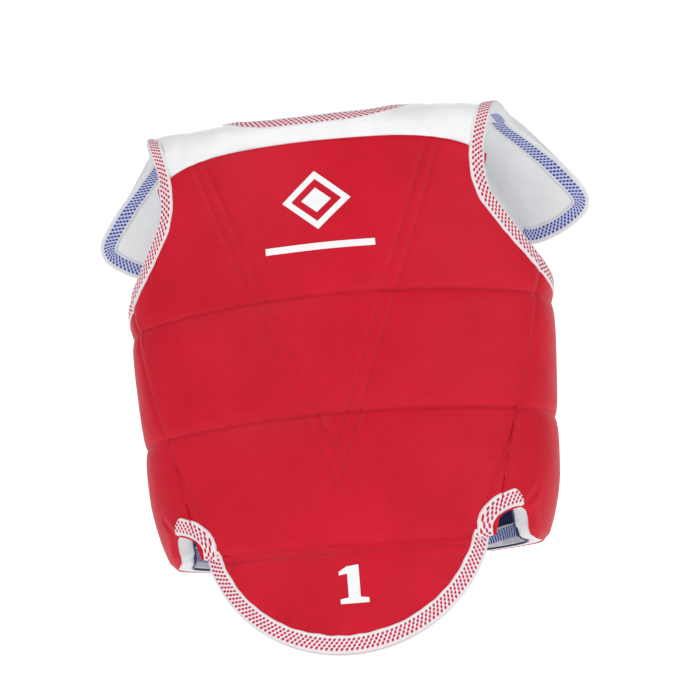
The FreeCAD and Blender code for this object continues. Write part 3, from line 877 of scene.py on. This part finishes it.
# --- tape round an edge ---
def tape_piece(name, surface, line, inward, relief, pad, under=None, outer=TAPE_WIDTH, inner=TAPE_WIDTH,
               dots=1.0, *, seed):
    """Tape folded over a padded edge.

    line is the edge; inward is 1 if the panel lies to its left.  relief and under give how far the outer
    cover and the lining stand off the plain shell.  outer and inner are the widths of the two lips, and
    dots below 1 squeezes the inner lip's pattern so that only its plain border shows.
    """
    line = evenly(line, LINE_STEP)
    step = np.gradient(line, axis=0)
    step = step / np.linalg.norm(step, axis=1, keepdims=True)
    into = np.stack([-step[:, 1], step[:, 0]], -1) * inward
    along = np.concatenate([[0], np.cumsum(np.linalg.norm(np.diff(line, axis=0), axis=1))])
    wave = ripple(along, 0 * along, 17 * MM, seed) * TAPE_WOBBLE
    under = under or (lambda a, b: 0 * a)
    outer, inner, dots = [np.broadcast_to(value, along.shape) for value in (outer, inner, dots)]
    cloth, lift, rim_reach = 0.7 * MM, 1.0 * MM, 3.2 * MM
    lip = (1.0, 0.97, 0.86, 0.72, 0.58, 0.44, 0.32)
    outside, inside, texture = [], [], []

    def lay(reach, height, back_reach, back_height, across):
        front, back = line + into * reach[:, None], line + into * back_reach[:, None]
        outside.append(laid(surface, front[:, 0], front[:, 1], height))
        inside.append(laid(surface, back[:, 0], back[:, 1], back_height))
        texture.append(np.stack([along, across], -1))

    def lay_lip(share, sign, width, pattern):
        reach = np.maximum(width * share + (wave if share > 0.6 else 0), rim_reach * 0.75)
        points = line + into * reach[:, None]
        rise = lift if share < 1 else 0.1 * MM
        if sign > 0:
            height = relief(points[:, 0], points[:, 1]) + rise
        else:
            height = -pad - under(points[:, 0], points[:, 1]) - rise
        lay(reach, height, reach, height - sign * cloth, sign * reach * pattern)

    for share in lip:
        lay_lip(share, 1, outer, 1.0)
    edge = line + into * rim_reach
    top = relief(edge[:, 0], edge[:, 1]) + lift
    bottom = -pad - under(edge[:, 0], edge[:, 1]) - lift
    for angle in np.radians(np.linspace(75, -75, 13)):
        reach = rim_reach * (1 - math.cos(angle)) + 0 * along
        middle, half = (top + bottom) / 2, (top - bottom) / 2 * math.sin(angle)
        lay(reach, middle + half, reach + cloth * math.cos(angle), middle + half * 0.93,
            3.0 * MM * math.sin(angle) + 0 * along)
    for share in lip[::-1]:
        lay_lip(share, -1, inner, dots)
    ring = outside + inside[::-1]
    uv = texture + texture[::-1]
    points = np.stack(ring, 1)
    uv = np.stack(uv, 1)
    rows, columns = points.shape[:2]
    faces = grid_faces(rows, columns, wrap=True)
    if inward > 0:
        faces = [f[::-1] for f in faces]
    flip = 1 if inward > 0 else -1
    faces.append(tuple(range(columns))[::flip])
    faces.append(tuple((rows - 1) * columns + k for k in range(columns))[::-flip])
    piece = new_object(name, points.reshape(-1, 3), faces, uv.reshape(-1, 2))
    finish_piece(piece, TAPE)
    crisp_rims(piece)
    return piece


def strap_relief(around, up):
    """Height of the yoke's cover above the plain shell.  It is plain where it meets the shoulder lobe."""
    left = np.abs(around)
    height = 0.8 * MM * ripple(around, up, 52 * MM, 8, 0.7) + 0.6 * MM * ripple(around, up, 22 * MM, 9, 0.6)
    height = height * np.clip((left - 30 * MM) / (60 * MM), 0.12, 1)
    height = height + pinch(left, 0.8 * MM, 1.4 * MM) + pinch(up - red_top(around), 1.0 * MM, 1.8 * MM)
    return height * (1 - smooth(up, HINGE_UP - 40 * MM, HINGE_UP - 4 * MM))


def upper_relief(around, up):
    """The relief of whatever cover lies at this height: front panel below the yoke seam, yoke above."""
    share = np.clip((up - red_top(around)) / (4 * MM), 0, 1)
    return front_relief(around, np.minimum(up, YOKE_SEAM)) * (1 - share) + strap_relief(around, up) * share


def lobe_pad(down):
    """A lobe is as thin as the strap at the shoulder and full a little way down."""
    return STRAP_PAD + (LOBE_PAD - STRAP_PAD) * smooth(down, 0, 30 * MM)


def upper_pad(up):
    return PAD + (STRAP_PAD - PAD) * np.clip((up - YOKE_SEAM + 20 * MM) / (40 * MM), 0, 1)


def upper_under(around, up):
    """How far the lining beside an armhole stands off the pad's plain inner face."""
    return LINING_SHARE * front_relief(around, up) * (1 - smooth(up, YOKE_SEAM - 30 * MM, YOKE_SEAM))


def wing_tape_relief(around, up):
    """A full lip lies on the cover; a narrow one sinks under it."""
    sunk = tucked(around, up, 0 * around) * (1 - smooth(wide_lip(around, up), 0, 0.4))
    return front_relief(around, up) - sunk


def armhole_tape_relief(around, up):
    """The armhole tape's foot laps over the end of the wing's tape."""
    return upper_relief(around, up) + TAPE_LAP * (1 - smooth(up, SEAM_HEAD - 2 * MM, SEAM_HEAD + 10 * MM))


def bindings():
    """Every tape.  The armhole's begins a few steps along the wing's top edge."""
    edge = evenly(np.vstack([wing_top_line()[3:0:-1], ARMHOLE]), LINE_STEP)
    armhole = tape_piece("left_armhole_tape", trunk, edge, 1, armhole_tape_relief, upper_pad(edge[:, 1]),
                         upper_under, seed=21)
    both(armhole, "front", ["armhole_binding"])
    neck = np.vstack([NECK[::-1], (NECK * [-1, 1])[1:]])
    neck_tape = tape_piece("neck_tape", trunk, neck, 1, strap_relief, STRAP_PAD, seed=22)
    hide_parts("neck_binding")
    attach(neck_tape, "front")
    flap_tape = tape_piece("groin_flap_tape", trunk, flap_line(), -1, flap_relief, FLAP_PAD, flap_under,
                           seed=23)
    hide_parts("groin_binding")
    bends(flap_tape, "groin_flap")
    rim = np.vstack([wing_top_line(), wing_rear_line()[::-1][1:-1], wing_foot_line()[::-1]])
    rim = evenly(rim, LINE_STEP)
    width = NARROW_LIP + (TAPE_WIDTH - NARROW_LIP) * smooth(wide_lip(rim[:, 0], rim[:, 1]), 0.1, 0.9)
    wing = tape_piece("left_wing_tape", trunk, rim, -1, wing_tape_relief, PAD, wing_under, outer=width,
                      seed=24)
    both(wing, "wing", ["wing_binding"])
    edge = evenly(lobe_line(), LINE_STEP)
    turn = int(np.argmin(np.linalg.norm(edge - np.array(LOBE_INNER[0]) * MM, axis=1)))
    inner_side = np.arange(len(edge)) >= turn
    edge = tape_piece("left_lobe_tape", lobe, edge, 1, lambda a, b: 0 * a, lobe_pad(edge[:, 1]), seed=25,
                      inner=np.where(inner_side, 10 * MM, TAPE_WIDTH), dots=np.where(inner_side, 0.4, 1.0))
    both(edge, "shoulder", ["lobe_binding"])


# --- groin flap ---
def flap_under(around, up):
    """How far the flap's lining stands off the pad's plain inner face."""
    return 0.5 * flap_relief(around, up)


def flap_grid():
    """Rows of points over the flap, its free edge drawn in so that the tape hides it."""
    scale = 1 - HIDDEN / FLAP_RADIUS
    left, foot, right = flap_line(1.0, 0.55), flap_line(0.55, -0.55), flap_line(-0.55, -1.0)
    head = np.array([[-SEAM_FOOT_ARC, GROIN_SEAM], [SEAM_FOOT_ARC, GROIN_SEAM]])
    columns, rows = int(2 * SEAM_FOOT_ARC / GRID), int(GROIN_SEAM / GRID) + 8
    grid = coons(foot[::-1], head, right, left[::-1], columns, rows)
    return grid * [scale, 1] + [0, HIDDEN * 0.5] * (1 - grid[..., 1:] / GROIN_SEAM)


def groin_flap():
    grid = flap_grid()
    around, up = grid[..., 0], grid[..., 1]
    height = flap_relief(around, up) + puckers(flap_line(), around, up, 31, 0.9 * MM)
    cover = sheet_piece("groin_flap_cover", laid(trunk, around, up, height), grid, RED)
    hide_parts("groin_outer_cover", "groin_foam")
    bends(cover, "groin_flap")
    inner = laid(trunk, around, up, -FLAP_PAD - flap_under(around, up))
    lining = sheet_piece("groin_flap_inner_cover_navy", inner, grid, NAVY, inward=True)
    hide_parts("groin_inner_cover")
    bends(lining, "groin_flap")


groin_flap()


# --- yoke ---
def yoke_grid():
    """One half of the yoke: from the middle of the chest to the armhole, and from the red panel up."""
    foot_arc = float(armhole_around(YOKE_SEAM - 15 * MM)) - HIDDEN
    around = np.linspace(0, foot_arc, 60)
    foot = np.stack([around, red_top(around)], -1)
    armhole = ARMHOLE[ARMHOLE[:, 1] > foot[-1, 1] + 1 * MM] - [HIDDEN, 0]
    outer = np.vstack([foot[-1:], armhole])
    middle = np.array([[0, red_top(0)], [0, NECK_UP - 2 * MM]])
    inner = np.vstack([middle, NECK[1:] + [2 * MM, -1.5 * MM] * np.clip(NECK[1:, :1] / (40 * MM), 0, 1)])
    inner[-1, 1] = HINGE_UP
    head = np.array([inner[-1], outer[-1]])
    return coons(foot, head, inner, outer, int(foot_arc / GRID), int(170 * MM / GRID))


def yoke():
    half = yoke_grid()
    other = (half * [-1, 1])[:, ::-1][:, :-1]
    grid = np.concatenate([other, half], 1)
    around, up = grid[..., 0], grid[..., 1]
    cover = sheet_piece("yoke_cover_white", laid(trunk, around, up, strap_relief(around, up)), grid, WHITE)
    inner = laid(trunk, around, up, -upper_pad(up))
    lining = sheet_piece("yoke_lining_white", inner, grid, LINING, inward=True)
    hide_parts("yoke_cover", "yoke_foam")
    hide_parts("yoke_lining")
    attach(cover, "front")
    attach(lining, "front")


yoke()


# --- rear shoulder lobes ---
def lobe_grid():
    """Rows of points over a lobe, from its outer edge to its inner edge."""
    line = lobe_line()
    outer_corner = int(np.argmax(line[:, 0]))
    low_corner = outer_corner + int(np.argmin(np.abs(line[outer_corner:, 0] - 160 * MM)))
    head = np.array([line[-1], line[0]])
    outer = line[:outer_corner + 1]
    foot = line[outer_corner:low_corner + 1][::-1]
    inner = line[low_corner:][::-1]
    return coons(head, foot, inner, outer, int(100 * MM / GRID), int(170 * MM / GRID))


def lobe_relief(across, down):
    """Height of a lobe's cover above the plain form."""
    inside = distance_to(evenly(lobe_line(), 5 * MM), across, down)
    swell = 3.0 * MM * np.clip(inside / (35 * MM), 0, 1) ** 0.7 + 0.4 * MM * ripple(across, down, 40 * MM, 15)
    return swell * smooth(down, 0, 40 * MM)


def lobe_pair():
    grid = lobe_grid()
    across, down = grid[..., 0], grid[..., 1]
    swell = lobe_relief(across, down)
    edge = distance_to(evenly(lobe_line(), 5 * MM), across, down)
    sunk = 0.35 * MM * (1 - smooth(edge, TAPE_WIDTH - 3 * MM, TAPE_WIDTH + 2 * MM)) * smooth(down, 0, 20 * MM)
    bulge = 0.5 * swell * smooth(edge, TAPE_WIDTH - 4 * MM, TAPE_WIDTH + 14 * MM)
    outer = laid(lobe, across, down, swell * smooth(edge, 14 * MM, 24 * MM) - sunk)
    inner = laid(lobe, across, down, sunk - lobe_pad(down) - bulge)
    cover = sheet_piece("left_lobe_cover_white", outer, grid, WHITE)
    lining = sheet_piece("left_lobe_lining_white", inner, grid, LINING, inward=True)
    both(cover, "shoulder", ["lobe_outer_cover", "lobe_foam", "shoulder_seam"])
    both(lining, "shoulder", ["lobe_lining"])


lobe_pair()
bindings()

# --- loops keep their CAD shape ---
for loop in ("left_wing_lace_loops", "right_wing_lace_loops", "left_lobe_lace_loop", "right_lobe_lace_loop"):
    frame["nodes"][loop].data.materials.clear()
    frame["nodes"][loop].data.materials.append(WEBBING)


# --- stitches, each a short capsule of thread half sunk in the cover ---
# Each ring of a stitch: its share of the length, its rise and its size, the last two in radii.
STITCH_RINGS = ((0.0, -0.8, 0.5), (0.2, 0.0, 1.0), (0.8, 0.0, 1.0), (1.0, -0.8, 0.5))
STITCH_SIDES = 6
STITCH_RADIUS = 0.5 * MM


def row_points(row, at):
    """Points at these lengths along a row."""
    run = np.concatenate([[0], np.cumsum(np.linalg.norm(np.diff(row, axis=0), axis=1))])
    return np.stack([np.interp(at, run, row[:, k]) for k in range(2)], -1)


def stitched(row, pitch, length):
    """The two ends of each stitch along a row."""
    total = np.linalg.norm(np.diff(row, axis=0), axis=1).sum()
    starts = np.arange(pitch / 2, total - length, pitch)
    return np.stack([row_points(row, starts), row_points(row, starts + length)], 1)


def stitch_piece(name, rows, relief, material):
    """One mesh of every stitch in these rows."""
    ends = np.concatenate(rows)
    a, b = [laid(trunk, e[:, 0], e[:, 1], relief(e[:, 0], e[:, 1])) for e in (ends[:, 0], ends[:, 1])]
    up = normals(trunk, ends[:, 0, 0], ends[:, 0, 1])
    side = np.cross(b - a, up)
    side = side / np.linalg.norm(side, axis=-1, keepdims=True)
    rings = []
    for share, rise, size in STITCH_RINGS:
        for angle in np.linspace(0, 2 * math.pi, STITCH_SIDES, endpoint=False):
            lifted = up * (rise + size * math.sin(angle)) * STITCH_RADIUS
            rings.append(a + (b - a) * share + lifted + side * size * math.cos(angle) * STITCH_RADIUS)
    points = np.stack(rings, 1)
    count = points.shape[1]
    one = grid_faces(len(STITCH_RINGS), STITCH_SIDES, wrap=True)
    one += [tuple(range(STITCH_SIDES))[::-1], tuple(range(count - STITCH_SIDES, count))]
    faces = [tuple(k + i * count for k in face) for i in range(len(points)) for face in one]
    piece = new_object(name, points.reshape(-1, 3), faces)
    finish_piece(piece, material)
    face_outwards(piece)
    return piece


def face_outwards(piece):
    bpy.ops.object.select_all(action="DESELECT")
    bpy.context.view_layer.objects.active = piece
    piece.select_set(True)
    bpy.ops.object.mode_set(mode="EDIT")
    bpy.ops.mesh.select_all(action="SELECT")
    bpy.ops.mesh.normals_make_consistent(inside=False)
    bpy.ops.object.mode_set(mode="OBJECT")
    piece.select_set(False)


def quilt_row(level, start, end):
    around = np.linspace(start, end, 80)
    return np.stack([around, quilt_up(around, level)], -1)


def all_stitches():
    tight, wide = (5.2 * MM, 3.2 * MM), (6.6 * MM, 4.3 * MM)
    side = stitched(SIDE_ROW, *tight)
    on_front = side[:, 0, 0] < seam_around(side[:, 0, 1])
    rows = [stitched(row, *tight) for row in v_rows()] + [side[on_front]]
    rows += [row * [-1, 1] for row in rows]
    wing_rows = [side[~on_front]]
    for level in (LOWER_QUILT, UPPER_QUILT):
        seam = float(seam_around(level)[0])
        rows.append(stitched(quilt_row(level, -seam, seam), *wide))
        wing_rows.append(stitched(quilt_row(level, seam, REAR_ARC - 9 * MM), *wide))
    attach(stitch_piece("front_stitches", rows, front_relief, RED_THREAD), "front")
    wing = stitch_piece("left_wing_stitches", wing_rows, front_relief, RED_THREAD)
    both(wing, "wing")
    half = 112 * MM
    topstitch = np.stack([np.linspace(-half, half, 80), np.full(80, GROIN_SEAM - TOPSTITCH_DROP)], -1)
    topstitches = stitch_piece("groin_topstitch", [stitched(topstitch, *wide)], flap_relief, RED_THREAD)
    bends(topstitches, "groin_flap")


all_stitches()


# --- printed marks: a plain lozenge over a rule on the chest, and the size on the flap ---
def printed(name, patches, relief, node):
    """Ink that lies on a cover in thin patches.  A patch is four (around, up) corners in millimetres."""
    steps = 14
    points, faces = [], []
    v, u = np.meshgrid(np.linspace(0, 1, steps), np.linspace(0, 1, steps), indexing="ij")
    u, v = u[..., None], v[..., None]
    for patch in patches:
        a, b, c, d = np.array(patch) * MM
        flat = (1 - v) * ((1 - u) * a + u * b) + v * ((1 - u) * d + u * c)
        faces += [tuple(k + len(points) for k in face) for face in grid_faces(steps, steps)]
        height = relief(flat[..., 0], flat[..., 1]) + 0.3 * MM
        points += list(laid(trunk, flat[..., 0], flat[..., 1], height).reshape(-1, 3))
    piece = new_object(name, points, faces)
    finish_piece(piece, INK)
    use_modifier(piece, "SOLIDIFY", thickness=0.5 * MM, offset=-1.0, use_even_offset=False)
    crisp_rims(piece)
    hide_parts(node)
    return piece


def lozenge(half_width, half_height, centre):
    return [(half_width, centre), (0, centre + half_height), (-half_width, centre), (0, centre - half_height)]


def emblem():
    centre = low("chest_emblem").z / MM + 24
    outer, inner = lozenge(30, 26, centre), lozenge(22, 19, centre)
    ring = [(outer[k], outer[(k + 1) % 4], inner[(k + 1) % 4], inner[k]) for k in range(4)]
    rule = [(-48, centre - 44), (48, centre - 44), (48, centre - 38), (-48, centre - 38)]
    patches = ring + [lozenge(13, 11, centre), rule]
    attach(printed("chest_emblem_print", patches, front_relief, "chest_emblem"), "front")


def numeral():
    foot = low("size_numeral").z / MM - 5
    patches = [[(-12, 0), (12, 0), (12, 4), (-12, 4)], [(-12, 4), (12, 4), (5, 5), (-5, 5)],
               [(-5, 5), (5, 5), (5, 32), (-5, 31)], [(-12, 24), (-5, 25), (-5, 31), (-12, 27)]]
    patches = [[(x + 7, foot + z) for x, z in patch] for patch in patches]
    bends(printed("size_numeral_print", patches, flap_relief, "size_numeral"), "groin_flap")


emblem()
numeral()


# --- floor, light, camera ---
def studio():
    floor_z, front, back, sweep, half_width, top = -0.32, -3.0, 2.2, 1.2, 4.5, 4.5
    profile = [(front, 0.0), (back, 0.0)]
    profile += [(back + sweep * math.sin(turn), sweep - sweep * math.cos(turn))
                for turn in np.linspace(0.1, math.pi / 2, 14)]
    profile += [(back + sweep, top)]
    points = [(x, y, floor_z + z) for x in (-half_width, half_width) for y, z in profile]
    n = len(profile)
    floor = new_object("studio_floor", points, [(k, k + n, k + n + 1, k + 1) for k in range(n - 1)])
    sheet = Sheet("studio_paper", 0.9)
    grainy = sheet.noise(3.0, 2.0)
    sheet.shader.inputs["Emission Strength"].default_value = 0.55
    colour = sheet.mixed(grainy, rgb(0.86, 0.86, 0.86), rgb(0.88, 0.88, 0.88))
    glow = sheet.mixed(grainy, rgb(0.9, 0.9, 0.9), rgb(0.92, 0.92, 0.92))
    finish_piece(floor, sheet.feed(Base_Color=colour, Emission_Color=glow))
    world = bpy.context.scene.world or bpy.data.worlds.new("studio_air")
    bpy.context.scene.world = world
    world.use_nodes = True
    world.node_tree.nodes["Background"].inputs[0].default_value = rgb(1.0, 1.0, 1.0)
    world.node_tree.nodes["Background"].inputs[1].default_value = 0.47
    for name, place, aim, size, power in (
            ("key", (-1.3, -1.9, 1.7), (0, 0, 0.25), 1.6, 19),
            ("fill", (1.9, -1.5, 0.7), (0, 0, 0.25), 1.6, 12.5),
            ("under", (0.2, -1.8, -0.25), (0, 0, 0.2), 1.2, 4),
            ("back", (0.0, 1.8, 1.9), (0, 0, 0.3), 1.8, 9)):
        data = bpy.data.lights.new(name, "AREA")
        data.energy = power
        data.size = size
        lamp = bpy.data.objects.new(name, data)
        lamp.location = place
        lamp.rotation_euler = (Vector(aim) - Vector(place)).to_track_quat("-Z", "Y").to_euler()
        bpy.context.scene.collection.objects.link(lamp)


def camera():
    azimuth, elevation, roll = math.radians(6.5), math.radians(-10.0), math.radians(4.5)
    distance, seen_width = 1.7, 0.644
    aim = Vector((6 * MM, 0, 278 * MM))
    back = Vector((math.sin(azimuth) * math.cos(elevation), -math.cos(azimuth) * math.cos(elevation),
                   math.sin(elevation)))
    data = bpy.data.cameras.new("camera")
    data.lens = data.sensor_width / seen_width * distance
    made = bpy.data.objects.new("camera", data)
    made.location = aim + back * distance
    turn = (-back).to_track_quat("-Z", "Y").to_matrix()
    made.rotation_euler = (turn @ Matrix.Rotation(-roll, 3, "Z")).to_euler()
    bpy.context.scene.collection.objects.link(made)
    bpy.context.scene.camera = made


studio()
camera()
bpy.context.scene.view_settings.view_transform = "Standard"
